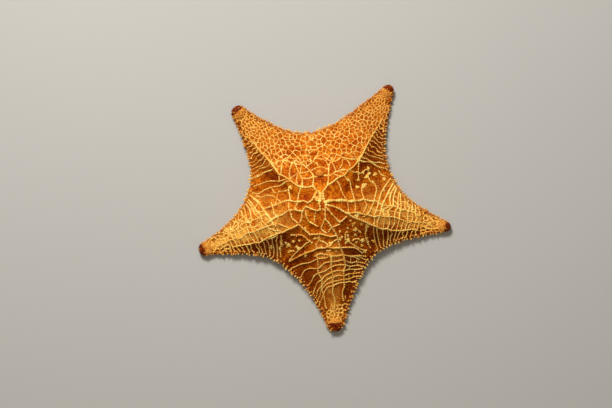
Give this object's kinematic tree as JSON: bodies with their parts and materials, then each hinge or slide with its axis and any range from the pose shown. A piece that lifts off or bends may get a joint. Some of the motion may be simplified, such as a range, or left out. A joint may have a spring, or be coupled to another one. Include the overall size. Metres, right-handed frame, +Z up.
{
  "type": "starfish",
  "caption": "Cushion sea star resting flat: a swollen domed disc runs out into tapering arms with spined keels and margins, blunt turned-up tips, and grooves and a mouth below.",
  "frame": {"origin": "middle of the animal's box, on the surface that it rests on", "axes": "+Z up out of the back; +Y towards the angle between arm_1 and arm_2, which is the top of the picture; +X to the picture's right"},
  "size_m": [0.2524, 0.2466, 0.056],
  "materials": {
    "skin": "wet leathery skin over a net of plates",
    "tip": "wet granular end plate",
    "plate": "chalky calcite plate under thin skin",
    "mouth": "pale spined mouth plates",
    "eye": "wet red cushion"
  },
  "bodies": {
    "root": {"disc": "skin", "arm_1": "skin", "arm_2": "skin", "arm_3": "skin", "arm_4": "skin", "arm_5": "skin", "tip_1": "tip", "tip_2": "tip", "tip_3": "tip", "tip_4": "tip", "tip_5": "tip", "eyespot_1": "eye", "eyespot_2": "eye", "eyespot_3": "eye", "eyespot_4": "eye", "eyespot_5": "eye", "madreporite": "plate", "jaw_1": "mouth", "jaw_2": "mouth", "jaw_3": "mouth", "jaw_4": "mouth", "jaw_5": "mouth"}
  },
  "joints": []
}
